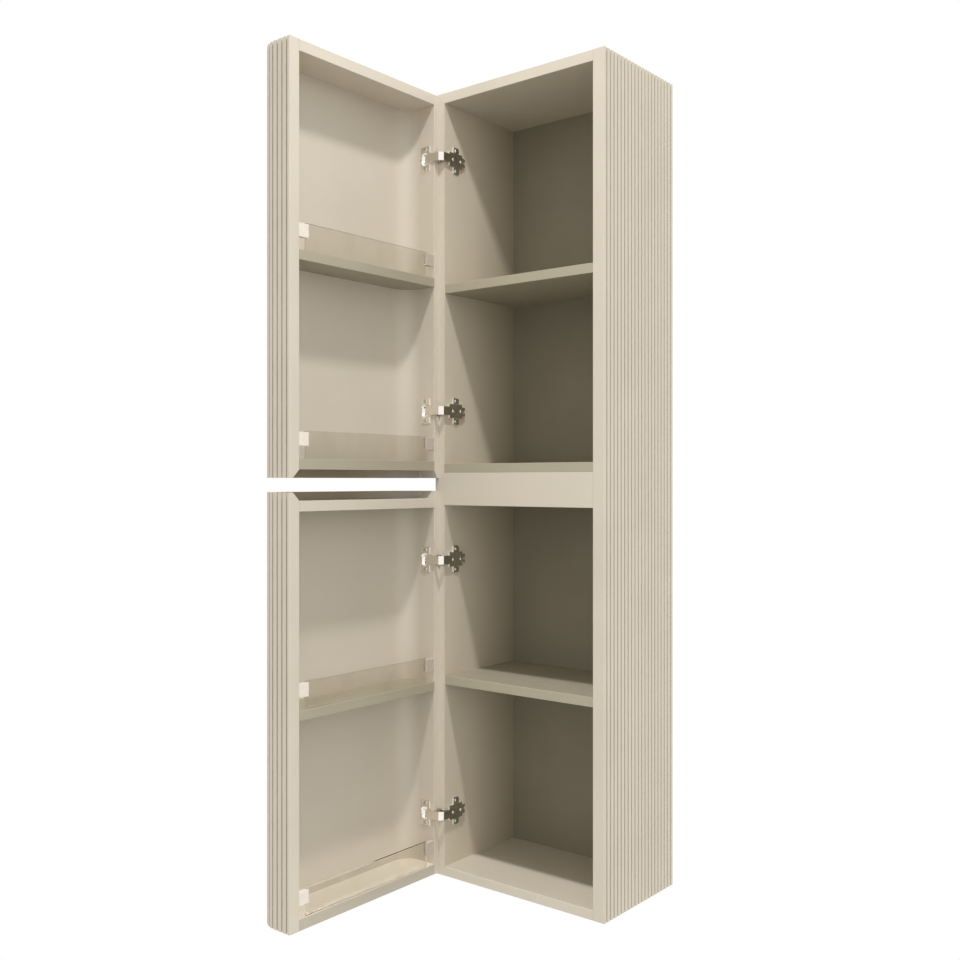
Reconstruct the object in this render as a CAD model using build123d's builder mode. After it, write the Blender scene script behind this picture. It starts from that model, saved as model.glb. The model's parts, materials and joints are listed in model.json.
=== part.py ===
from build123d import *
import math
import os
from dataclasses import dataclass

os.makedirs("parts", exist_ok=True)

# A two-door wall cabinet in millimetres. The wall is the plane y = 0, +Y points into it, and the
# origin lies midway between the two hanging holes. Both doors stand open by a quarter turn.

# Carcass
height = 1400
width = 360
carcass_depth = 220
side_thickness = 22
top_thickness = 18
bottom_thickness = 16
edge_round = 2.5
arris = 0.6

# Boards inside the carcass, heights measured from its underside
shelf_thickness = 16
shelf_setback = 2
lower_shelf_height = 342
upper_shelf_height = 1042
split_height = 700
rail_height = 58
rail_thickness = 18
rail_below_split = 37

# Back panel, held in grooves clear of the wall
back_thickness = 8
back_void = 7
groove_depth = 6
groove_fit = 0.2

# Flutes in the sides and in the outer faces of the doors
flute_pitch = 10.8
flute_width = 3.2
flute_depth = 3
flute_margin = 7

# Doors, built as shallow boxes
door_depth = 85
front_thickness = 16
corner_radius = 50
cove_radius = 33
free_rim = 20
end_wall = 18
meeting_wall = 17
pull_recess = 13
free_splay = 13
hinge_splay = 8
door_reveal = 3
finger_gap = 23
door_gap = 3
open_gap = 0.3
swing_clearance = 1.5
door_shelf_thickness = 16
lower_door_shelf_height = 331
upper_door_shelf_height = 1053

# Gallery rails and the clips that hold their ends
glass_thickness = 4
glass_height = 44
glass_chamfer = 0.5
glass_fit = 0.1
clip_length = 21
clip_height = 22
clip_wall = 2
clip_drop = 2
clip_round = 0.8
clip_setback = 1
clip_grip = 4

# Dowels
dowel_radius = 4
dowel_fit = 0.05
dowel_cover = 5
dowel_board_reach = 16
dowel_end_gap = 0.5
front_dowel_count = 4

# Hinges
top_hinge_inset = 112
upper_middle_hinge_inset = 120.5
lower_middle_hinge_inset = 123.5
bottom_hinge_inset = 106.5
sheet = 1.1
pressed_bevel = 0.8
strap_gap = 0.3
strap_height = 15
bend_inside = 0.8
pin_radius = 1.5
pin_press = 0.01
pin_running = 0.05
pin_stand = 0.7
barrel_radius = 3
barrel_gap = 0.3
inner_barrel_height = 8
knuckle_clearance = 0.8
strap_relief = 1.2

# Hinge mounting plate, distances measured back from the carcass front
plate_height = 4.5
plate_start = 8
plate_length = 37
plate_width = 26
tail_length = 8
tail_width = 16
tail_notch = 5
wing_start = 22.5
wing_width = 17
wing_span = 49
wing_thickness = 1.6
wing_corner = 4
wing_screw_spread = 37
arm_rise_start = 1.5
arm_rise_length = 5.5
arm_length = 46
arm_screw_first = 20
arm_screw_second = 41

# Hinge cup on the door stile, distances measured in from the door's rim
cup_setback = 21
cup_radius = 13
cup_depth = 11
cup_fit = 0.1
bowl_radius = 11.5
bowl_depth = 8
flange_width = 22
flange_height = 46
flange_corner = 2
link_setback = 10.5
link_radius = 10
link_rise = 2.2
link_round = 0.7
cup_screw_spread = 35

# Screws
screw_radius = 1.75
screw_length = 12
screw_head_radius = 3.2
screw_head_height = 1.5
screw_fit = 0.05
recess_length = 3.6
recess_width = 0.9
recess_depth = 0.8
arm_screw_radius = 2
arm_screw_length = 4

# Hanger plates behind the top panel
hanger_drop = 45
hanger_side_gap = 8
hanger_width = 40
hanger_height = 60
hanger_thickness = 2
hanger_corner = 4
hanger_top_inset = 3
hanger_fit = 0.1
keyhole_radius = 5.5
keyhole_slot = 5.5
keyhole_rise = 12
hanger_screw_spread = 24
hanger_screw_length = 25
hanger_head_radius = 3.5

# Levels and planes that follow from the sizes above
top_z = hanger_drop
floor_z = top_z - height
front_y = -carcass_depth
inner_width = width - 2 * side_thickness
inner_x = inner_width / 2
back_face_y = -back_void - back_thickness
rail_z = floor_z + split_height - rail_below_split
split_z = floor_z + split_height
face_x = side_thickness / 2

# The hinge axis stands in the gap between door and carcass, at the middle of the left side
hinge_x = -width / 2 + side_thickness / 2
hinge_y = front_y - door_gap / 2
carcass_plane = Plane(origin=(hinge_x, hinge_y, 0), x_dir=(1, 0, 0), z_dir=(0, 0, 1))
door_plane = Plane(origin=(hinge_x, hinge_y, 0), x_dir=(0, -1, 0), z_dir=(0, 0, 1))

# Door plan in its own frame: x runs along the door's width, y from its front to its rim
rim_y = -door_gap / 2
door_left = -side_thickness / 2
door_right = door_left + width
door_mid_x = door_left + width / 2
cavity_left = door_left + side_thickness
cavity_right = door_right - free_rim
cavity_width = cavity_right - cavity_left
cavity_mid_x = (cavity_left + cavity_right) / 2
cavity_depth = door_depth - front_thickness
outer_y = rim_y - door_depth
joint_left = cavity_left + cove_radius
joint_right = cavity_right - cove_radius

# The hinge stile is rebated so that it swings round the edge of the carcass side, and the rest of
# its rim comes up to the carcass front when the door stands open
rebate_depth = side_thickness / 2 + swing_clearance - door_gap / 2
rebate_edge = open_gap - door_gap / 2

# Hinge knuckle levels, measured from the middle of each hinge
strap_offset = strap_gap / 2 + sheet / 2
strap_face_x = face_x + strap_gap + sheet / 2
bend_radius = bend_inside + sheet / 2
inner_barrel_top = inner_barrel_height / 2
outer_barrel_low = inner_barrel_top + barrel_gap
outer_barrel_height = strap_height / 2 - outer_barrel_low
strap_start = barrel_radius + strap_relief
pin_length = strap_height + 2 * pin_stand

# Glass rail section
clip_depth = 2 * clip_wall + glass_thickness + 2 * glass_fit
glass_y = rim_y - clip_setback - clip_depth / 2
glass_length = cavity_width - 2 * (clip_length - clip_grip)

# The cup's bowl is a cap of this sphere
bowl_sphere = (bowl_radius ** 2 + bowl_depth ** 2) / (2 * bowl_depth)

BASE = (Align.CENTER, Align.CENTER, Align.MIN)
ALONG_X = (0, 90, 0)
AGAINST_X = (0, -90, 0)
AGAINST_Y = (90, 0, 0)


@dataclass
class Board:
    """A board that spans between the two sides."""

    low: float
    tall: float
    front: float
    back: float

    def dowel_lines(self):
        """The (y, z) lines of its two dowels, at the quarter points of its longer edge."""
        deep = self.back - self.front
        middle_y = self.front + deep / 2
        middle_z = self.low + self.tall / 2
        if deep > self.tall:
            return [(middle_y + part * deep / 4, middle_z) for part in (-1, 1)]
        return [(middle_y, middle_z + part * self.tall / 4) for part in (-1, 1)]


@dataclass
class Door:
    """One box door: its levels, the end that has the finger pull, and its hinges."""

    name: str
    low: float
    high: float
    pull_at_top: bool
    shelf_low: float
    hinges: dict

    def walls(self):
        """Level and thickness of the boards that lie across the door."""
        if self.pull_at_top:
            bottom = (self.low, end_wall)
            top = (self.high - pull_recess - meeting_wall, meeting_wall)
        else:
            bottom = (self.low + pull_recess, meeting_wall)
            top = (self.high - end_wall, end_wall)
        return {
            "bottom_wall": bottom,
            "top_wall": top,
            "shelf": (self.shelf_low, door_shelf_thickness),
        }

    def rail_seats(self):
        """Levels on which the two glass rails stand."""
        walls = self.walls()
        return {"shelf": sum(walls["shelf"]), "bottom": sum(walls["bottom_wall"])}


def save(piece, name):
    """Label a finished piece and write it."""
    piece.part.label = name
    export_step(piece.part, f"parts/{name}.step")


# Dowels sink into the side by all but a cover of wood, and into the board by a set reach
dowel_side_reach = side_thickness - flute_depth - dowel_cover
dowel_length = dowel_side_reach + dowel_board_reach
dowel_shift = (dowel_board_reach - dowel_side_reach) / 2


def dowel_spots(left, right, lines):
    """Centres of the dowels along x, where boards meet the faces at left and right."""
    ends = (left + dowel_shift, right - dowel_shift)
    return [(x, y, z) for x in ends for y, z in lines]


def add_dowels(spots):
    """Dowels lying along x."""
    with Locations(*spots):
        Cylinder(dowel_radius, dowel_length, rotation=ALONG_X)


def cut_dowel_holes(spots):
    """The holes that take those dowels."""
    with Locations(*spots):
        Cylinder(
            dowel_radius + dowel_fit,
            dowel_length + 2 * dowel_end_gap,
            rotation=ALONG_X,
            mode=Mode.SUBTRACT,
        )


def cut_back_groove():
    """The groove for the back panel, where a board reaches it."""
    with Locations((0, back_face_y + back_thickness / 2, back_middle_z)):
        Box(
            back_width + 2 * groove_fit,
            back_thickness + 2 * groove_fit,
            back_height + 2 * groove_fit,
            mode=Mode.SUBTRACT,
        )


def add_screw(spot, shank_radius, length):
    """A round-headed cross-recess screw driven along -x, seated at the spot."""
    with Locations(spot):
        Cylinder(screw_head_radius, screw_head_height, rotation=ALONG_X, align=BASE)
        Cylinder(shank_radius, length, rotation=AGAINST_X, align=BASE)
    with Locations((spot[0] + screw_head_height, spot[1], spot[2])):
        Box(2 * recess_depth, recess_length, recess_width, mode=Mode.SUBTRACT)
        Box(2 * recess_depth, recess_width, recess_length, mode=Mode.SUBTRACT)


def cut_screw_hole(spot, shank_radius, length):
    """The hole for such a screw."""
    with Locations(spot):
        Cylinder(
            shank_radius + screw_fit,
            length + dowel_end_gap,
            rotation=AGAINST_X,
            align=BASE,
            mode=Mode.SUBTRACT,
        )


def wall_plane(base, middle_z, rise=0):
    """The inner face of a side or stile, seen square on at a hinge: x runs along base y, y up."""
    origin = base.from_local_coords((face_x + rise, 0, middle_z))
    return Plane(origin=origin, x_dir=base.y_dir, z_dir=base.x_dir)


# Back panel size, set by the opening and the grooves
back_width = inner_width + 2 * groove_depth
back_height = height - top_thickness - bottom_thickness + 2 * groove_depth
back_middle_z = (floor_z + bottom_thickness + top_z - top_thickness) / 2

boards = {
    "top_panel": Board(top_z - top_thickness, top_thickness, front_y, 0),
    "bottom_panel": Board(floor_z, bottom_thickness, front_y, 0),
    "mid_rail": Board(rail_z, rail_height, front_y, front_y + rail_thickness),
    "upper_floor": Board(rail_z + rail_height, shelf_thickness, front_y, back_face_y),
    "lower_ceiling": Board(rail_z, shelf_thickness, front_y + rail_thickness, back_face_y),
    "upper_shelf": Board(
        floor_z + upper_shelf_height, shelf_thickness, front_y + shelf_setback, back_face_y
    ),
    "lower_shelf": Board(
        floor_z + lower_shelf_height, shelf_thickness, front_y + shelf_setback, back_face_y
    ),
}

lower_low = floor_z + door_reveal
lower_high = split_z - finger_gap / 2
upper_low = split_z + finger_gap / 2
upper_high = top_z - door_reveal

doors = [
    Door(
        name="upper_door",
        low=upper_low,
        high=upper_high,
        pull_at_top=False,
        shelf_low=floor_z + upper_door_shelf_height,
        hinges={
            "top_hinge": upper_high - top_hinge_inset,
            "upper_middle_hinge": upper_low + upper_middle_hinge_inset,
        },
    ),
    Door(
        name="lower_door",
        low=lower_low,
        high=lower_high,
        pull_at_top=True,
        shelf_low=floor_z + lower_door_shelf_height,
        hinges={
            "lower_middle_hinge": lower_high - lower_middle_hinge_inset,
            "bottom_hinge": lower_low + bottom_hinge_inset,
        },
    ),
]

hinges = {name: level for door in doors for name, level in door.hinges.items()}


# Hinge hole patterns, in the frame of the hinge axis
def wing_screw_spots(level, rise=0):
    """Screws through the wings of a mounting plate."""
    y = door_gap / 2 + wing_start + wing_width / 2
    return [(face_x + rise, y, level + way * wing_screw_spread / 2) for way in (-1, 1)]


def arm_screw_spots(level):
    """Screws that hold the arm down on its mounting plate."""
    x = face_x + plate_height + sheet
    return [(x, door_gap / 2 + back, level) for back in (arm_screw_first, arm_screw_second)]


def cup_screw_spots(level):
    """Screws through the flange of a cup."""
    y = rim_y - cup_setback
    return [(face_x + sheet, y, level + way * cup_screw_spread / 2) for way in (-1, 1)]


def cut_knuckle_room(level):
    """The notch round a hinge knuckle."""
    with Locations((0, 0, level)):
        Cylinder(
            barrel_radius + knuckle_clearance,
            pin_length + 2 * knuckle_clearance,
            mode=Mode.SUBTRACT,
        )


# Sides of the carcass
side_flute_count = int((carcass_depth - 2 * flute_margin) // flute_pitch) + 1
carcass_dowels = [
    spot for board in boards.values() for spot in dowel_spots(-inner_x, inner_x, board.dowel_lines())
]

for name, way in (("left_side", -1), ("right_side", 1)):
    with BuildPart() as side:
        with BuildSketch(Plane.XY.offset(floor_z)) as side_plan:
            with Locations((way * (inner_x + side_thickness / 2), front_y / 2)):
                Rectangle(side_thickness, carcass_depth)
            for x, radius in ((width / 2, edge_round), (inner_x, arris)):
                corner = side_plan.vertices().sort_by_distance((way * x, front_y, 0))[0]
                fillet(corner, radius)
            with Locations((way * width / 2, front_y / 2)):
                with GridLocations(0, flute_pitch, 1, side_flute_count):
                    Rectangle(2 * flute_depth, flute_width, mode=Mode.SUBTRACT)
        extrude(amount=height)
        cut_back_groove()
        cut_dowel_holes(carcass_dowels)
        if way < 0:
            with Locations(carcass_plane.location):
                for level in hinges.values():
                    cut_knuckle_room(level)
                    for spot in wing_screw_spots(level):
                        cut_screw_hole(spot, screw_radius, screw_length)
    save(side, name)

# Hanger plates hang over the void behind the back panel, let into the edge of the top panel
hanger_middle_z = top_z - hanger_top_inset - hanger_height / 2
hanger_screw_z = top_z - top_thickness / 2
hanger_x = inner_x - hanger_side_gap - hanger_width / 2
hanger_places = {"hanger_plate_left": -hanger_x, "hanger_plate_right": hanger_x}
hanger_screws = [
    (x + way * hanger_screw_spread / 2, 0, hanger_screw_z)
    for x in hanger_places.values()
    for way in (-1, 1)
]


def hanger_screw(fit, mode):
    """Countersunk screws through the hanger plates into the top panel, or their holes."""
    head_height = hanger_head_radius - screw_radius
    with Locations(*hanger_screws):
        Cone(
            hanger_head_radius + fit,
            screw_radius + fit,
            head_height,
            rotation=AGAINST_Y,
            align=BASE,
            mode=mode,
        )
        Cylinder(screw_radius + fit, hanger_screw_length, rotation=AGAINST_Y, align=BASE, mode=mode)


for name, x in hanger_places.items():
    with BuildPart() as hanger:
        with BuildSketch(Plane.XZ):
            with Locations((x, hanger_middle_z)):
                RectangleRounded(hanger_width, hanger_height, hanger_corner)
            with Locations((x, 0)):
                Circle(keyhole_radius, mode=Mode.SUBTRACT)
            with Locations((x, keyhole_rise / 2)):
                SlotCenterToCenter(keyhole_rise, keyhole_slot, rotation=90, mode=Mode.SUBTRACT)
        extrude(amount=hanger_thickness)
        hanger_screw(screw_fit, Mode.SUBTRACT)
    save(hanger, name)

with BuildPart() as hanger_screw_set:
    hanger_screw(0, Mode.ADD)
save(hanger_screw_set, "hanger_screws")

# Boards between the sides
for name, board in boards.items():
    with BuildPart() as panel:
        with Locations((0, (board.front + board.back) / 2, board.low + board.tall / 2)):
            Box(inner_width, board.back - board.front, board.tall)
        if name != "lower_ceiling":
            fillet(panel.edges().filter_by(Axis.X).group_by(Axis.Y)[0], arris)
        cut_dowel_holes(dowel_spots(-inner_x, inner_x, board.dowel_lines()))
        if name in ("top_panel", "bottom_panel"):
            cut_back_groove()
        if name == "top_panel":
            with Locations(*[(x, 0, hanger_middle_z) for x in hanger_places.values()]):
                Box(
                    hanger_width + 2 * hanger_fit,
                    2 * hanger_thickness,
                    hanger_height + 2 * hanger_fit,
                    mode=Mode.SUBTRACT,
                )
            hanger_screw(screw_fit, Mode.SUBTRACT)
    save(panel, name)

with BuildPart() as back_panel:
    with Locations((0, back_face_y + back_thickness / 2, back_middle_z)):
        Box(back_width, back_thickness, back_height)
save(back_panel, "back_panel")

with BuildPart() as carcass_dowel_set:
    add_dowels(carcass_dowels)
save(carcass_dowel_set, "carcass_dowels")

# Plan of a door: the cavity first, then the shell round it with its flutes and its rebate
with BuildSketch() as cavity_plan:
    with Locations((cavity_mid_x, rim_y - cavity_depth / 2)):
        Rectangle(cavity_width, cavity_depth)
    fillet(cavity_plan.vertices().group_by(Axis.Y)[0], cove_radius)

# The flutes share out the way from the middle of a door to the last one by its rim
flat_half = width / 2 - corner_radius
arc_length = math.radians(90) * corner_radius
end_face = door_depth - corner_radius
outline_half = flat_half + arc_length + end_face
flute_reach = outline_half - flute_margin
door_flute_count = round(flute_reach / flute_pitch + 0.5)
door_flute_pitch = flute_reach / (door_flute_count - 0.5)


def flute_place(distance, way):
    """Where a flute lies, at a distance round the outer face from the middle of the door."""
    if distance <= flat_half:
        return Location((door_mid_x + way * distance, outer_y, 0))
    turn = (distance - flat_half) / corner_radius
    if distance <= flat_half + arc_length:
        x = door_mid_x + way * (flat_half + corner_radius * math.sin(turn))
        y = outer_y + corner_radius * (1 - math.cos(turn))
        return Location((x, y, 0), (0, 0, way * math.degrees(turn)))
    y = outer_y + corner_radius + distance - flat_half - arc_length
    return Location((door_mid_x + way * width / 2, y, 0), (0, 0, 90))


def flute_places(way, cut_away):
    """Flutes on one half of a door, without those where its rim is cut away."""
    last = outline_half - cut_away - flute_width
    distances = [(step + 0.5) * door_flute_pitch for step in range(door_flute_count)]
    return [flute_place(distance, way) for distance in distances if distance < last]


door_flutes = flute_places(1, 0) + flute_places(-1, rebate_depth)

with BuildSketch() as shell_plan:
    with Locations((door_mid_x, rim_y - door_depth / 2)):
        Rectangle(width, door_depth)
    fillet(shell_plan.vertices().group_by(Axis.Y)[0], corner_radius)
    add(cavity_plan.sketch, mode=Mode.SUBTRACT)
    with Locations(*door_flutes):
        Rectangle(flute_width, 2 * flute_depth, mode=Mode.SUBTRACT)
    with Locations(((door_left + rebate_edge) / 2, rim_y)):
        Rectangle(rebate_edge - door_left, 2 * rebate_depth, mode=Mode.SUBTRACT)
    for x, radius in ((cavity_left, arris), (cavity_right, arris), (door_right, edge_round)):
        corner = shell_plan.vertices().sort_by_distance((x, rim_y, 0))[0]
        fillet(corner, radius)


def pull_cut(door):
    """The splayed ends of a finger pull, cut from the stiles where the meeting wall stands back."""
    level = door.high if door.pull_at_top else door.low
    rise = -pull_recess if door.pull_at_top else pull_recess
    rim_plane = Plane(origin=(0, rim_y, level), x_dir=(1, 0, 0), z_dir=(0, -1, 0))
    with BuildPart() as cut:
        with BuildSketch(rim_plane):
            with BuildLine():
                Polyline(
                    (cavity_left - hinge_splay, 0),
                    (cavity_right + free_splay, 0),
                    (cavity_right, rise),
                    (cavity_left, rise),
                    close=True,
                )
            make_face()
        extrude(amount=cavity_depth - cove_radius)
    return cut.part


front_dowel_y = outer_y + (front_thickness + flute_depth) / 2
wall_dowel_y = rim_y - (cavity_depth - cove_radius) / 2

for door in doors:
    door_tall = door.high - door.low
    splay_cut = pull_cut(door)
    wall_lines = [(wall_dowel_y, low + tall / 2) for low, tall in door.walls().values()]
    wall_dowels = dowel_spots(cavity_left, cavity_right, wall_lines)
    front_lines = [
        (front_dowel_y, door.low + door_tall * (step + 0.5) / front_dowel_count)
        for step in range(front_dowel_count)
    ]
    front_dowels = dowel_spots(joint_left, joint_right, front_lines)

    # Fluted front panel and the two corner stiles
    shell_spans = {
        "hinge_stile": (door_left, joint_left),
        "front_panel": (joint_left, joint_right),
        "free_stile": (joint_right, door_right),
    }
    for name, (start, end) in shell_spans.items():
        with BuildPart(door_plane) as shell:
            with BuildSketch(door_plane.offset(door.low)):
                add(shell_plan.sketch)
                with Locations(((start + end) / 2, rim_y - door_depth / 2)):
                    Rectangle(end - start, door_depth, mode=Mode.INTERSECT)
            extrude(amount=door_tall)
            cut_dowel_holes(front_dowels)
            if name != "front_panel":
                cut_dowel_holes(wall_dowels)
                add(splay_cut, mode=Mode.SUBTRACT)
            if name == "hinge_stile":
                for level in door.hinges.values():
                    cut_knuckle_room(level)
                    with Locations((face_x, rim_y - cup_setback, level)):
                        Cylinder(
                            cup_radius + cup_fit,
                            cup_depth + cup_fit,
                            rotation=AGAINST_X,
                            align=BASE,
                            mode=Mode.SUBTRACT,
                        )
                    for spot in cup_screw_spots(level):
                        cut_screw_hole(spot, screw_radius, screw_length)
        save(shell, f"{door.name}_{name}")

    # End walls and shelf
    for name, (low, tall) in door.walls().items():
        with BuildPart(door_plane) as wall:
            with BuildSketch(door_plane.offset(low)):
                add(cavity_plan.sketch)
            extrude(amount=tall)
            fillet(wall.edges().filter_by(Axis.Y).group_by(Axis.X)[-1], arris)
            cut_dowel_holes(wall_dowels)
        save(wall, f"{door.name}_{name}")

    with BuildPart(door_plane) as door_dowel_set:
        add_dowels(wall_dowels + front_dowels)
    save(door_dowel_set, f"{door.name}_dowels")

    # Gallery rails, with a clip at each end
    for name, seat in door.rail_seats().items():
        with BuildPart(door_plane) as glass:
            with Locations((cavity_mid_x, glass_y, seat)):
                Box(glass_length - 2 * glass_fit, glass_thickness, glass_height, align=BASE)
            chamfer(glass.edges().group_by(Axis.Z)[-1], glass_chamfer)
        save(glass, f"{door.name}_{name}_rail")

        clip_low = seat + glass_height - clip_drop - clip_height
        clip_reach = (cavity_width - clip_length) / 2
        with BuildPart(door_plane) as clips:
            with Locations(
                (cavity_mid_x - clip_reach, glass_y, clip_low),
                (cavity_mid_x + clip_reach, glass_y, clip_low),
            ):
                Box(clip_length, clip_depth, clip_height, align=BASE)
            fillet(clips.edges(), clip_round)
            with Locations((cavity_mid_x, glass_y, seat)):
                Box(
                    glass_length,
                    glass_thickness + 2 * glass_fit,
                    glass_height,
                    align=BASE,
                    mode=Mode.SUBTRACT,
                )
        save(clips, f"{door.name}_{name}_rail_clips")

    with BuildPart(door_plane) as cup_screw_set:
        for level in door.hinges.values():
            for spot in cup_screw_spots(level):
                add_screw(spot, screw_radius, screw_length)
    save(cup_screw_set, f"{door.name}_cup_screws")

# Hinges
for name, level in hinges.items():
    # Cross-shaped mounting plate on the carcass side
    with BuildPart(carcass_plane) as plate:
        with BuildSketch(wall_plane(carcass_plane, level)):
            with Locations((door_gap / 2 + wing_start + wing_width / 2, 0)):
                RectangleRounded(wing_width, wing_span, wing_corner)
        extrude(amount=wing_thickness)
        chamfer(plate.faces().sort_by(Axis.X)[-1].edges(), pressed_bevel)
        with BuildSketch(wall_plane(carcass_plane, level)):
            with Locations((door_gap / 2 + plate_start + plate_length / 2, 0)):
                Rectangle(plate_length, plate_width)
            with Locations((door_gap / 2 + plate_start + plate_length + tail_length / 2, 0)):
                Rectangle(tail_length, tail_width)
            with Locations((door_gap / 2 + plate_start + plate_length + tail_length, 0)):
                Rectangle(2 * tail_notch, tail_notch, mode=Mode.SUBTRACT)
        extrude(amount=plate_height)
        chamfer(plate.faces().sort_by(Axis.X)[-1].edges(), pressed_bevel)
        for spot in wing_screw_spots(level, wing_thickness):
            cut_screw_hole(spot, screw_radius, screw_length)
        for spot in arm_screw_spots(level):
            cut_screw_hole(spot, arm_screw_radius, arm_screw_length)
    save(plate, f"{name}_plate")

    # Arm: a bent strap from the top of the plate round the front edge to the inner barrel
    arm_top_x = face_x + plate_height + sheet / 2
    rise_y = door_gap / 2 + arm_rise_start
    with BuildPart(carcass_plane) as arm:
        with BuildSketch(carcass_plane.offset(level - strap_height / 2)):
            with BuildLine():
                FilletPolyline(
                    (strap_start, strap_offset),
                    (strap_face_x, strap_offset),
                    (strap_face_x, rise_y),
                    (arm_top_x, rise_y + arm_rise_length),
                    (arm_top_x, door_gap / 2 + arm_length),
                    radius=bend_radius,
                )
            trace(line_width=sheet)
        extrude(amount=strap_height)
        with BuildSketch(carcass_plane.offset(level - inner_barrel_top)):
            with Locations((strap_start / 2, strap_offset)):
                Rectangle(strap_start, sheet)
            Circle(barrel_radius)
            Circle(pin_radius + pin_press, mode=Mode.SUBTRACT)
        extrude(amount=inner_barrel_height)
        for spot in arm_screw_spots(level):
            cut_screw_hole(spot, arm_screw_radius, arm_screw_length)
    save(arm, f"{name}_arm")

    # Flange and bowl on the stile, under a round-ended link with a forked strap to the outer barrels
    with BuildPart(door_plane) as cup:
        with BuildSketch(wall_plane(door_plane, level)):
            with Locations((rim_y - cup_setback, 0)):
                RectangleRounded(flange_width, flange_height, flange_corner)
        extrude(amount=sheet)
        chamfer(cup.faces().sort_by(Axis.Y)[0].edges(), pressed_bevel)
        with BuildSketch(wall_plane(door_plane, level)):
            with Locations((rim_y - cup_setback, 0)):
                Circle(cup_radius)
        extrude(amount=-cup_depth)
        with Locations((face_x + sheet + bowl_sphere - bowl_depth, rim_y - cup_setback, level)):
            Sphere(bowl_sphere, mode=Mode.SUBTRACT)
        with BuildSketch(wall_plane(door_plane, level, strap_gap)):
            with Locations((rim_y - link_setback, 0)):
                Circle(link_radius)
        extrude(amount=link_rise)
        fillet(cup.faces().sort_by(Axis.Y)[0].edges(), link_round)
        with BuildSketch(door_plane.offset(level - strap_height / 2)):
            with BuildLine():
                FilletPolyline(
                    (strap_start, -strap_offset),
                    (strap_face_x, -strap_offset),
                    (strap_face_x, rim_y - link_setback),
                    radius=bend_radius,
                )
            trace(line_width=sheet)
        extrude(amount=strap_height)
        for low in (level + outer_barrel_low, level - strap_height / 2):
            with BuildSketch(door_plane.offset(low)):
                with Locations((strap_start / 2, -strap_offset)):
                    Rectangle(strap_start, sheet)
                Circle(barrel_radius)
                Circle(pin_radius + pin_running, mode=Mode.SUBTRACT)
            extrude(amount=outer_barrel_height)
        for spot in cup_screw_spots(level):
            cut_screw_hole(spot, screw_radius, screw_length)
    save(cup, f"{name}_cup")

    with BuildPart(carcass_plane) as pin:
        with Locations((0, 0, level)):
            Cylinder(pin_radius, pin_length)
    save(pin, f"{name}_pin")

with BuildPart(carcass_plane) as plate_screw_set:
    for level in hinges.values():
        for spot in wing_screw_spots(level, wing_thickness):
            add_screw(spot, screw_radius, screw_length)
save(plate_screw_set, "hinge_plate_screws")

with BuildPart(carcass_plane) as arm_screw_set:
    for level in hinges.values():
        for spot in arm_screw_spots(level):
            add_screw(spot, arm_screw_radius, arm_screw_length)
save(arm_screw_set, "hinge_arm_screws")
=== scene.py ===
import json
import math

import bmesh
import bpy
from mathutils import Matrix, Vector


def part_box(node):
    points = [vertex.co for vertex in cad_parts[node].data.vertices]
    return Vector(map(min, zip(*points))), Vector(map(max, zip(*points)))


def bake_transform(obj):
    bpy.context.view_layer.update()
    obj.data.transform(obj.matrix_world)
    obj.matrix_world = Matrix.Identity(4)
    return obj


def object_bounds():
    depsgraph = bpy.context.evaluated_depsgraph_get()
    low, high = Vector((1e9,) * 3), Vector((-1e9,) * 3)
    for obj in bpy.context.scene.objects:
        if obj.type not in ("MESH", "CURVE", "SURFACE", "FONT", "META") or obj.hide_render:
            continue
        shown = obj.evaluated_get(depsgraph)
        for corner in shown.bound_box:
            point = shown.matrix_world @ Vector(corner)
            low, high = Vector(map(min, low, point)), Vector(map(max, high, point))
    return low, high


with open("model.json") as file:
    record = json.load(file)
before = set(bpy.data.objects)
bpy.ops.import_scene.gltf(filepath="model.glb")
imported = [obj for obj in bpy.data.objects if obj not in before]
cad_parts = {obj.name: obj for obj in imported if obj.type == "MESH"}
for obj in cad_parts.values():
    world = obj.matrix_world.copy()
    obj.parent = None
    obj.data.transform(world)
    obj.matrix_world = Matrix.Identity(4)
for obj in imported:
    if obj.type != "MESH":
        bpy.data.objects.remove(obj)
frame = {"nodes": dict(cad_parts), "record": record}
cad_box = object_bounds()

# Finishes, camera and light for a fluted wall cabinet whose two doors stand open. Sizes are in metres.

# Camera, level with the middle of the cabinet and turned to its front right corner
CAMERA_PLACE = (1.1195, -1.6896, -0.6470)
CAMERA_TILT = math.radians(90)
CAMERA_TURN = math.radians(39.118)
CAMERA_LENS = 40.776
SENSOR_WIDTH = 36.0

# Powers with which a point lamp a metre away and a distant lamp show a white face as just white
POINT_POWER = 4 * math.pi ** 2
DISTANT_POWER = math.pi

# Key lamp, small and above the front
KEY_PLACE = (0.285, -0.644, 0.663)
KEY_RADIUS = 0.045
KEY_LEVEL = 0.60

# Fill lamp, weak, soft and level, from behind the right side
FILL_WAY = (1.0, 0.9, 0.0)
FILL_ANGLE = math.radians(30)
FILL_LEVEL = 0.19

# Even pale light of the room, which itself looks white
ROOM_COLOUR = (1.0, 0.995, 0.945, 1.0)
ROOM_LEVEL = 0.97
WHITE = (1.0, 1.0, 1.0, 1.0)

# Floor as far below as under a cabinet hung at eye level, part white near by and all white far off
FLOOR_DROP = 1.45
FLOOR_SIZE = 60.0
FLOOR_COLOUR = (0.50, 0.50, 0.49, 1.0)
FLOOR_ROUGHNESS = 0.9
FLOOR_NEAR = 1.5
FLOOR_FAR = 3.0
FLOOR_WHITE = 0.4

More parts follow.
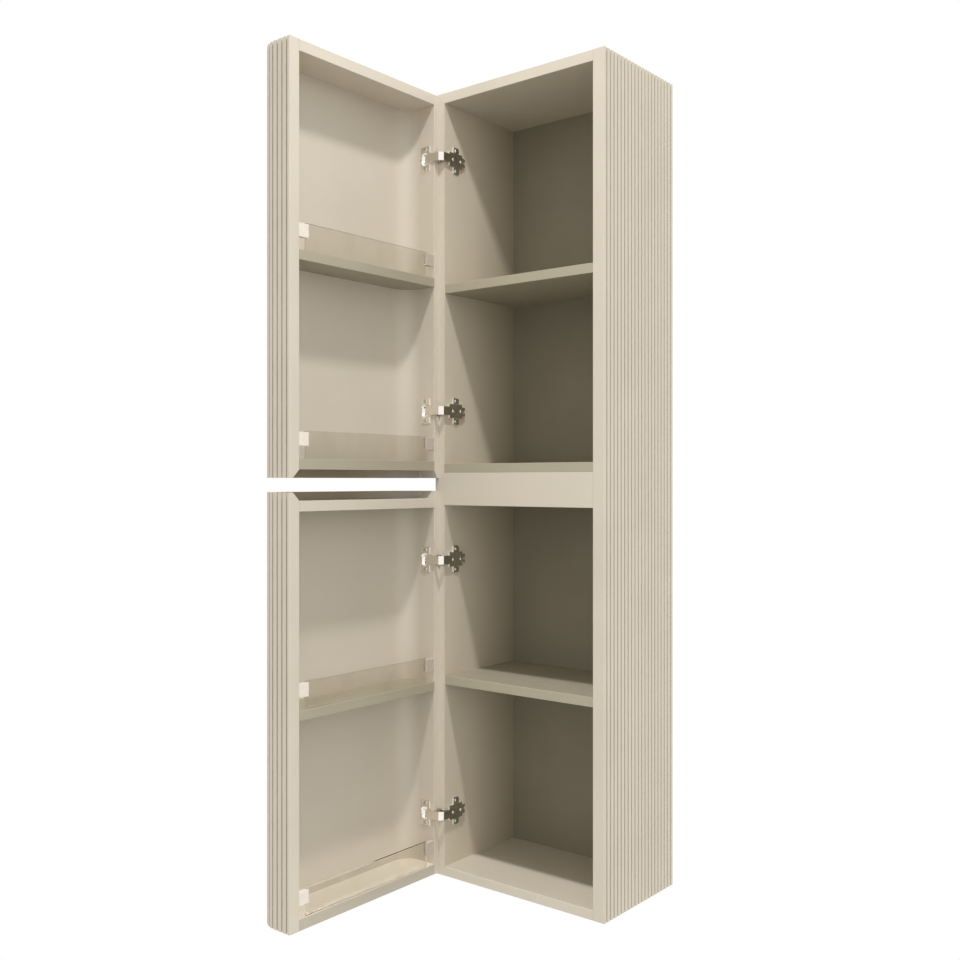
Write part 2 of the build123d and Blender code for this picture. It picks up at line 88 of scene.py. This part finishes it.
# Base colours of the boards, linear, each from its darker to its lighter tone
CREAM = ((0.655, 0.590, 0.495), (0.685, 0.620, 0.522))  # lacquer
INNER = ((0.648, 0.575, 0.457), (0.676, 0.603, 0.483))  # inner faces of the sides
DEEP_SHADE = ((0.440, 0.390, 0.305), (0.460, 0.410, 0.322))  # painted shade on the inner faces of the sides towards the back
BOTTOM = ((0.525, 0.470, 0.385), (0.555, 0.498, 0.410))  # bottom and top panels
BOARD = ((0.330, 0.293, 0.220), (0.355, 0.316, 0.240))  # boards across the carcass
BOARD_EDGE = ((0.430, 0.384, 0.292), (0.455, 0.408, 0.312))
DOOR_BOARD = ((0.370, 0.330, 0.248), (0.395, 0.353, 0.268))  # shelves in the doors
DOOR_EDGE = ((0.420, 0.375, 0.285), (0.445, 0.399, 0.305))
BACK = ((0.240, 0.213, 0.158), (0.262, 0.234, 0.176))  # back panel, and painted shade on the walls of the finger recess
RECESS_SHADE = ((0.456, 0.380, 0.262), (0.484, 0.404, 0.282))  # painted shade on the door fronts behind the finger recess
STILE_SHADE = ((0.603, 0.543, 0.455), (0.630, 0.570, 0.480))  # painted shade on the hinge stiles inside

# Base colours of the fittings
CLIP_WHITE = ((0.820, 0.755, 0.680), (0.865, 0.800, 0.720))  # clips at the free edge of a door
CLIP_SHADE = ((0.565, 0.503, 0.421), (0.597, 0.533, 0.448))  # painted shade on the clips at its hinge edge
BEECH = ((0.52, 0.34, 0.19), (0.66, 0.48, 0.30))
NICKEL = ((0.90, 0.86, 0.79), (0.97, 0.93, 0.86))
ZINC = ((0.60, 0.59, 0.56), (0.74, 0.73, 0.70))
GALVANISED = ((0.50, 0.51, 0.52), (0.66, 0.67, 0.68))
GLASS = ((0.83, 0.82, 0.78), (0.88, 0.87, 0.83))

# Span of a noise over which a tone or a roughness goes from one end to the other
NOISE_LOW = 0.3
NOISE_HIGH = 0.7

# Width of the band along the edge of a board, and of a bound that looks sharp
BAND_WIDTH = 0.0015
SHARP = 0.00001

# Depth of the outer skin of a hinge stile, which keeps its lacquer, and where the painted shades set in
# and how slowly
STILE_SKIN = 0.004
STILE_SHADE_FADE = 0.04
RECESS_SHADE_FADE = 0.12
DEEP_SHADE_START = -0.14
DEEP_SHADE_FADE = 0.12

# Ways that faces look, with the doors open
RIGHTWARD = (1.0, 0.0, 0.0)
LEFTWARD = (-1.0, 0.0, 0.0)
FORWARD = (0.0, -1.0, 0.0)
BACKWARD = (0.0, 1.0, 0.0)
UPWARD = (0.0, 0.0, 1.0)
DOWNWARD = (0.0, 0.0, -1.0)

# Hinge links, in plan from the hinge pin: from the round end on the door, over the corner, to the
# mounting plate.
LINK_PATH = ((-0.0080, -0.0140), (0.0106, -0.0136), (0.0166, -0.0064), (0.0172, 0.0150))
LINK_BEND = 0.0016
LINK_HEIGHT = 0.0150
LINK_THICKNESS = 0.0009
LINK_CREASE = math.radians(35)


class Finish:
    """A procedural material under construction, with one principled shader."""

    def __init__(self, name, **sockets):
        self.material = bpy.data.materials.new(name)
        self.material.use_nodes = True
        self.tree = self.material.node_tree
        self.shader = self.tree.nodes["Principled BSDF"]
        for socket, value in sockets.items():
            self.shader.inputs[socket.replace("_", " ")].default_value = value
        self.place = self.node("ShaderNodeTexCoord").outputs["Object"]

    def node(self, kind, **settings):
        """A new node, with its properties and its unlinked inputs set."""
        made = self.tree.nodes.new(kind)
        for key, value in settings.items():
            if hasattr(made, key):
                setattr(made, key, value)
            else:
                made.inputs[key.replace("_", " ")].default_value = value
        return made

    def link(self, output, entry):
        self.tree.links.new(output, entry)

    def noise(self, scale, detail=2.0, stretch=(1.0, 1.0, 1.0)):
        """Noise from 0 to 1 with this many features per metre, times the stretch of each axis."""
        mapping = self.node("ShaderNodeMapping", Scale=stretch)
        self.link(self.place, mapping.inputs["Vector"])
        texture = self.node("ShaderNodeTexNoise", Scale=scale, Detail=detail)
        self.link(mapping.outputs["Vector"], texture.inputs["Vector"])
        return texture.outputs["Fac"]

    def ranged(self, value, low, high, start=NOISE_LOW, end=NOISE_HIGH, **settings):
        """A value that goes from low to high between a start and an end."""
        ends = {"From_Min": start, "From_Max": end, "To_Min": low, "To_Max": high}
        spread = self.node("ShaderNodeMapRange", **ends, **settings)
        self.link(value, spread.inputs["Value"])
        return spread.outputs["Result"]

    def past(self, way, start, soft=SHARP):
        """A value that rises from nothing to one past a distance along one way."""
        along = self.node("ShaderNodeVectorMath", operation="DOT_PRODUCT")
        along.inputs[1].default_value = way
        self.link(self.place, along.inputs[0])
        return self.ranged(along.outputs["Value"], 0.0, 1.0, start, start + soft)

    def product(self, values):
        """All the values multiplied."""
        whole, *others = values
        for other in others:
            times = self.node("ShaderNodeMath", operation="MULTIPLY")
            self.link(whole, times.inputs[0])
            self.link(other, times.inputs[1])
            whole = times.outputs["Value"]
        return whole

    def drift(self, value, tones):
        """A colour that drifts between two tones."""
        ramp = self.node("ShaderNodeValToRGB")
        for stop, place, tone in zip(ramp.color_ramp.elements, (NOISE_LOW, NOISE_HIGH), tones):
            stop.position = place
            stop.color = (*tone, 1.0)
        self.link(value, ramp.inputs["Fac"])
        return ramp.outputs["Color"]

    def colour(self, value, tones, *parts):
        """Base colour that drifts between two tones. A part has its own tones past all its bounds."""
        colour = self.drift(value, tones)
        for own_tones, *bounds in parts:
            mix = self.node("ShaderNodeMixRGB")
            self.link(self.product([self.past(*bound) for bound in bounds]), mix.inputs["Fac"])
            self.link(colour, mix.inputs["Color1"])
            self.link(self.drift(value, own_tones), mix.inputs["Color2"])
            colour = mix.outputs["Color"]
        self.link(colour, self.shader.inputs["Base Color"])

    def roughness(self, value, low, high):
        """Roughness that goes from low to high."""
        self.link(self.ranged(value, low, high), self.shader.inputs["Roughness"])

    def bump(self, value, height):
        """Relief of this height in metres."""
        relief = self.node("ShaderNodeBump", Strength=1.0, Distance=height)
        self.link(value, relief.inputs["Height"])
        self.link(relief.outputs["Normal"], self.shader.inputs["Normal"])


def lacquer(name, *parts):
    """Sprayed satin lacquer with a faint orange-peel relief. Some parts have painted shade of their own.
    """
    finish = Finish(name, Coat_Weight=0.05, Coat_Roughness=0.35)
    finish.colour(finish.noise(scale=7.0, detail=4.0), CREAM, *parts)
    finish.roughness(finish.noise(scale=40.0, detail=3.0), low=0.44, high=0.54)
    finish.bump(finish.noise(scale=420.0), height=0.00006)
    return finish.material


def faced_board(name, face, *parts):
    """Matt faced board with a fine pressed grain. Some parts have tones of their own, some of them painted
    shade.
    """
    finish = Finish(name, Specular_IOR_Level=0.4)
    finish.colour(finish.noise(scale=9.0, detail=4.0), face, *parts)
    finish.roughness(finish.noise(scale=60.0, detail=3.0), low=0.46, high=0.58)
    finish.bump(finish.noise(scale=900.0, detail=3.0), height=0.00004)
    return finish.material


def dowel_wood():
    """Beech, with grain along the dowel."""
    finish = Finish("beech")
    finish.colour(finish.noise(scale=60.0, detail=4.0, stretch=(1.0, 12.0, 12.0)), BEECH)
    finish.roughness(finish.noise(scale=200.0), low=0.5, high=0.65)
    finish.bump(finish.noise(scale=300.0, detail=3.0, stretch=(0.2, 6.0, 6.0)), height=0.00005)
    return finish.material


def hinge_steel():
    """Bright nickel plate with fine drawing marks."""
    finish = Finish("nickel_plate", Metallic=1.0)
    finish.colour(finish.noise(scale=220.0, detail=3.0), NICKEL)
    finish.roughness(finish.noise(scale=900.0, detail=4.0, stretch=(1.0, 1.0, 0.15)), low=0.12, high=0.24)
    finish.bump(finish.noise(scale=1500.0, detail=3.0, stretch=(1.0, 1.0, 0.1)), height=0.000006)
    return finish.material


def screw_steel():
    """Zinc-plated screws, a little dull."""
    finish = Finish("zinc_plate", Metallic=1.0)
    finish.colour(finish.noise(scale=500.0, detail=3.0), ZINC)
    finish.roughness(finish.noise(scale=1200.0, detail=3.0), low=0.22, high=0.38)
    finish.bump(finish.noise(scale=2500.0), height=0.000008)
    return finish.material


def hanger_steel():
    """Galvanised sheet with its spangle."""
    finish = Finish("galvanised_sheet", Metallic=1.0)
    spangle = finish.node("ShaderNodeTexVoronoi", Scale=240.0)
    finish.link(finish.place, spangle.inputs["Vector"])
    tone = finish.node("ShaderNodeSeparateColor")
    finish.link(spangle.outputs["Color"], tone.inputs["Color"])
    finish.colour(tone.outputs["Red"], GALVANISED)
    finish.roughness(tone.outputs["Green"], low=0.28, high=0.45)
    finish.bump(finish.noise(scale=700.0, detail=3.0), height=0.00001)
    return finish.material


def clip_plastic(node):
    """Moulded white plastic, with painted shade on the clips at the hinge edge of a door."""
    finish = Finish(f"{node}_plastic", Subsurface_Weight=0.12, Subsurface_Scale=0.002)
    low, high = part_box(node)
    shaded_hinge_end = (CLIP_SHADE, (BACKWARD, (low.y + high.y) / 2))
    finish.colour(finish.noise(scale=150.0), CLIP_WHITE, shaded_hinge_end)
    finish.roughness(finish.noise(scale=400.0), low=0.22, high=0.32)
    finish.bump(finish.noise(scale=1400.0), height=0.00001)
    return finish.material


def rail_glass():
    """Clear glass, faintly uneven."""
    finish = Finish("clear_glass", Transmission_Weight=1.0, IOR=1.2)
    finish.colour(finish.noise(scale=30.0), GLASS)
    finish.roughness(finish.noise(scale=80.0), low=0.0, high=0.03)
    finish.bump(finish.noise(scale=25.0, detail=1.0), height=0.00001)
    return finish.material


def farthest(name, way):
    """How far a node reaches along one way."""
    return max(corner.dot(way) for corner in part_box(name))


def make_boards():
    """The faced boards by node, with edge bands at the front of the carcass or the rim of a door, and
    painted shade towards the back of the sides and on the walls of the finger recess.
    """
    made = {
        "back_panel": faced_board("back_board", BACK),
        "lower_ceiling": faced_board("ceiling_board", BOARD),
    }
    banded = {
        "top_panel": (BOTTOM, CREAM, FORWARD),
        "bottom_panel": (BOTTOM, CREAM, FORWARD),
        "upper_floor": (BOARD, BOARD_EDGE, FORWARD),
        "upper_shelf": (BOARD, BOARD_EDGE, FORWARD),
        "lower_shelf": (BOARD, BOARD_EDGE, FORWARD),
        "upper_door_shelf": (DOOR_BOARD, DOOR_EDGE, RIGHTWARD),
        # Painted shade: the walls of the finger recess take the dark tone of the back panel.
        "upper_door_bottom_wall": (BACK, DOOR_EDGE, RIGHTWARD),
        "lower_door_top_wall": (BACK, CREAM, RIGHTWARD),
        "lower_door_shelf": (DOOR_BOARD, DOOR_EDGE, RIGHTWARD),
        "lower_door_bottom_wall": (CREAM, BOTTOM, RIGHTWARD),
    }
    for name, (face, edge, way) in banded.items():
        band = (edge, (way, farthest(name, way) - BAND_WIDTH))
        made[name] = faced_board(f"{name}_board", face, band)
    for name, way in (("left_side", RIGHTWARD), ("right_side", LEFTWARD)):
        inside = (way, farthest(name, way) - BAND_WIDTH)
        # Painted shade: the inner face darkens towards the back of the carcass.
        deep_shade = (BACKWARD, DEEP_SHADE_START, DEEP_SHADE_FADE)
        made[name] = faced_board(f"{name}_board", CREAM, (INNER, inside), (DEEP_SHADE, inside, deep_shade))
    return made


def make_fronts():
    """The door fronts and hinge stiles by node, with painted shade at the finger recess and inside the
    stile.
    """
    walls = {
        "upper_door": ("upper_door_bottom_wall", DOWNWARD),
        "lower_door": ("lower_door_top_wall", UPWARD),
    }
    made = {}
    for door, (wall, way) in walls.items():
        panel = f"{door}_front_panel"
        # Painted shade on the inner face of the front within the finger recess, fading in away from the
        # hinge.
        recess_shade = (
            RECESS_SHADE,
            (RIGHTWARD, farthest(panel, RIGHTWARD) - BAND_WIDTH),
            (way, farthest(wall, way)),
            (FORWARD, -farthest(panel, BACKWARD), RECESS_SHADE_FADE),
        )
        made[panel] = lacquer(f"{panel}_lacquer", recess_shade)

        # Painted shade inside the hinge stile, deepening towards the hinge.
        stile = f"{door}_hinge_stile"
        inside = (
            STILE_SHADE,
            (RIGHTWARD, STILE_SKIN - farthest(stile, LEFTWARD)),
            (LEFTWARD, BAND_WIDTH - farthest(stile, RIGHTWARD)),
            (FORWARD, STILE_SKIN - farthest(stile, BACKWARD)),
            (BACKWARD, -farthest(stile, FORWARD), STILE_SHADE_FADE),
        )
        made[stile] = lacquer(f"{stile}_lacquer", inside)
    return made


def dress(own, shared):
    """Give every node its own finish or that of its slot. The rails and their clips cast no shadow."""
    slots = {row["node"]: row["material_slot"] for row in frame["record"]["subparts"]}
    for name, node in frame["nodes"].items():
        node.data.materials.clear()
        node.data.materials.append(own[name] if name in own else shared[slots[name]])
        node.visible_shadow = slots[name] not in ("rail_glass", "clip_plastic")


def placed(name, data):
    """A new object in the scene."""
    made = bpy.data.objects.new(name, data)
    bpy.context.scene.collection.objects.link(made)
    return made


def bent(points, radius, steps=6):
    """A path in plan with its inner corners rounded."""
    path = [Vector(points[0])]
    for before, corner, after in zip(points, points[1:], points[2:]):
        corner = Vector(corner)
        back = (Vector(before) - corner).normalized()
        ahead = (Vector(after) - corner).normalized()
        half = back.angle(ahead) / 2
        centre = corner + (back + ahead).normalized() * radius / math.sin(half)
        start = corner + back * radius / math.tan(half) - centre
        end = corner + ahead * radius / math.tan(half) - centre
        for step in range(steps + 1):
            path.append(centre + start.slerp(end, step / steps) * radius)
    path.append(Vector(points[-1]))
    return path


def strap_mesh(name, middle, path, thickness, height):
    """A strap on edge along a path in plan, about a middle point."""
    mesh = bmesh.new()
    sections = []
    for index, point in enumerate(path):
        along = path[min(index + 1, len(path) - 1)] - path[max(index - 1, 0)]
        aside = Vector((along.y, -along.x)).normalized() * thickness / 2
        corners = ((aside, -1), (aside, 1), (-aside, 1), (-aside, -1))
        sections.append([
            mesh.verts.new(middle + (point + side).to_3d() + Vector((0, 0, way * height / 2)))
            for side, way in corners
        ])
    for first, second in zip(sections, sections[1:]):
        for a, b in ((0, 1), (1, 2), (2, 3), (3, 0)):
            mesh.faces.new((first[a], second[a], second[b], first[b]))
    mesh.faces.new(sections[0])
    mesh.faces.new(reversed(sections[-1]))
    bmesh.ops.recalc_face_normals(mesh, faces=mesh.faces)
    made = bpy.data.meshes.new(name)
    mesh.to_mesh(made)
    mesh.free()
    made.shade_smooth()
    made.set_sharp_from_angle(angle=LINK_CREASE)
    return made


def make_links(material):
    """The bent link of each hinge, placed about the middle of its pin."""
    path = bent(LINK_PATH, LINK_BEND)
    for pin in [name for name in frame["nodes"] if name.endswith("_hinge_pin")]:
        hinge = pin.removesuffix("_pin")
        low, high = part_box(pin)
        middle = (low + high) / 2
        name = f"{hinge}_link"
        link = placed(name, strap_mesh(name, middle, path, LINK_THICKNESS, LINK_HEIGHT))
        link.data.materials.append(material)
        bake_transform(link)


def seen_directly(tree):
    """One where a ray comes straight from the camera, a mirror or glass, and nothing elsewhere."""
    path = tree.nodes.new("ShaderNodeLightPath")
    most = path.outputs["Is Camera Ray"]
    for ray in ("Is Glossy Ray", "Is Transmission Ray"):
        larger = tree.nodes.new("ShaderNodeMath")
        larger.operation = "MAXIMUM"
        tree.links.new(most, larger.inputs[0])
        tree.links.new(path.outputs[ray], larger.inputs[1])
        most = larger.outputs["Value"]
    return most


def mixed(tree, factor, first, second, output):
    """Show the second shader where the factor is one."""
    mix = tree.nodes.new("ShaderNodeMixShader")
    tree.links.new(factor, mix.inputs["Fac"])
    tree.links.new(first, mix.inputs[1])
    tree.links.new(second, mix.inputs[2])
    tree.links.new(mix.outputs["Shader"], output.inputs["Surface"])


def make_room():
    """An even pale room that looks white."""
    world = bpy.data.worlds.new("room")
    world.use_nodes = True
    tree = world.node_tree
    light = tree.nodes["Background"]
    light.inputs["Color"].default_value = ROOM_COLOUR
    light.inputs["Strength"].default_value = ROOM_LEVEL
    white = tree.nodes.new("ShaderNodeBackground")
    white.inputs["Color"].default_value = WHITE
    mixed(
        tree,
        seen_directly(tree),
        light.outputs["Background"],
        white.outputs["Background"],
        tree.nodes["World Output"],
    )
    bpy.context.scene.world = world


def floor_paint(level):
    """Pale paint that looks whiter the farther it is from below the cabinet."""
    finish = Finish("pale_floor", Base_Color=FLOOR_COLOUR, Roughness=FLOOR_ROUGHNESS)
    away = finish.node("ShaderNodeVectorMath", operation="DISTANCE")
    away.inputs[1].default_value = (0.0, 0.0, level)
    finish.link(finish.place, away.inputs[0])
    whiteness = finish.ranged(
        away.outputs["Value"],
        low=FLOOR_WHITE,
        high=1.0,
        start=FLOOR_NEAR,
        end=FLOOR_FAR,
        interpolation_type="SMOOTHSTEP",
    )
    white = finish.node("ShaderNodeEmission", Color=WHITE)
    mixed(
        finish.tree,
        finish.product([seen_directly(finish.tree), whiteness]),
        finish.shader.outputs["BSDF"],
        white.outputs["Emission"],
        finish.tree.nodes["Material Output"],
    )
    return finish.material


def make_floor(level):
    """A plain pale floor that keeps the cabinet's shadow."""
    half = FLOOR_SIZE / 2
    corners = [(x * half, y * half, level) for x, y in ((-1, -1), (1, -1), (1, 1), (-1, 1))]
    mesh = bpy.data.meshes.new("floor")
    mesh.from_pydata(corners, [], [(0, 1, 2, 3)])
    mesh.materials.append(floor_paint(level))
    floor = placed("floor", mesh)


def make_key():
    """The key lamp, whose light keeps its level over any distance."""
    lamp = bpy.data.lights.new("key", "POINT")
    lamp.shadow_soft_size = KEY_RADIUS
    lamp.energy = POINT_POWER
    lamp.use_nodes = True
    tree = lamp.node_tree
    even = tree.nodes.new("ShaderNodeLightFalloff")
    even.inputs["Strength"].default_value = KEY_LEVEL
    tree.links.new(even.outputs["Constant"], tree.nodes["Emission"].inputs["Strength"])
    key = placed("key", lamp)
    key.location = KEY_PLACE
    key.visible_camera = False


def make_fill():
    """The fill lamp, which leaves no glint."""
    lamp = bpy.data.lights.new("fill", "SUN")
    lamp.angle = FILL_ANGLE
    lamp.energy = DISTANT_POWER * FILL_LEVEL
    fill = placed("fill", lamp)
    fill.rotation_euler = Vector(FILL_WAY).to_track_quat("Z", "Y").to_euler()
    fill.visible_glossy = False


def make_camera():
    """The level camera."""
    lens = bpy.data.cameras.new("camera")
    lens.sensor_width = SENSOR_WIDTH
    lens.lens = CAMERA_LENS
    camera = placed("camera", lens)
    camera.location = CAMERA_PLACE
    camera.rotation_euler = (CAMERA_TILT, 0.0, CAMERA_TURN)
    bpy.context.scene.camera = camera


nickel = hinge_steel()
clips = {name: clip_plastic(name) for name in frame["nodes"] if name.endswith("_clips")}
own_finishes = {**make_boards(), **make_fronts(), **clips}
slot_finishes = {
    "lacquer": lacquer("cream_lacquer"),
    "dowel_wood": dowel_wood(),
    "hinge_steel": nickel,
    "screw_steel": screw_steel(),
    "hanger_steel": hanger_steel(),
    "rail_glass": rail_glass(),
}
dress(own_finishes, slot_finishes)
make_links(nickel)

make_room()
make_floor(cad_box[0].z - FLOOR_DROP)
make_key()
make_fill()
make_camera()
bpy.context.scene.view_settings.view_transform = "Standard"
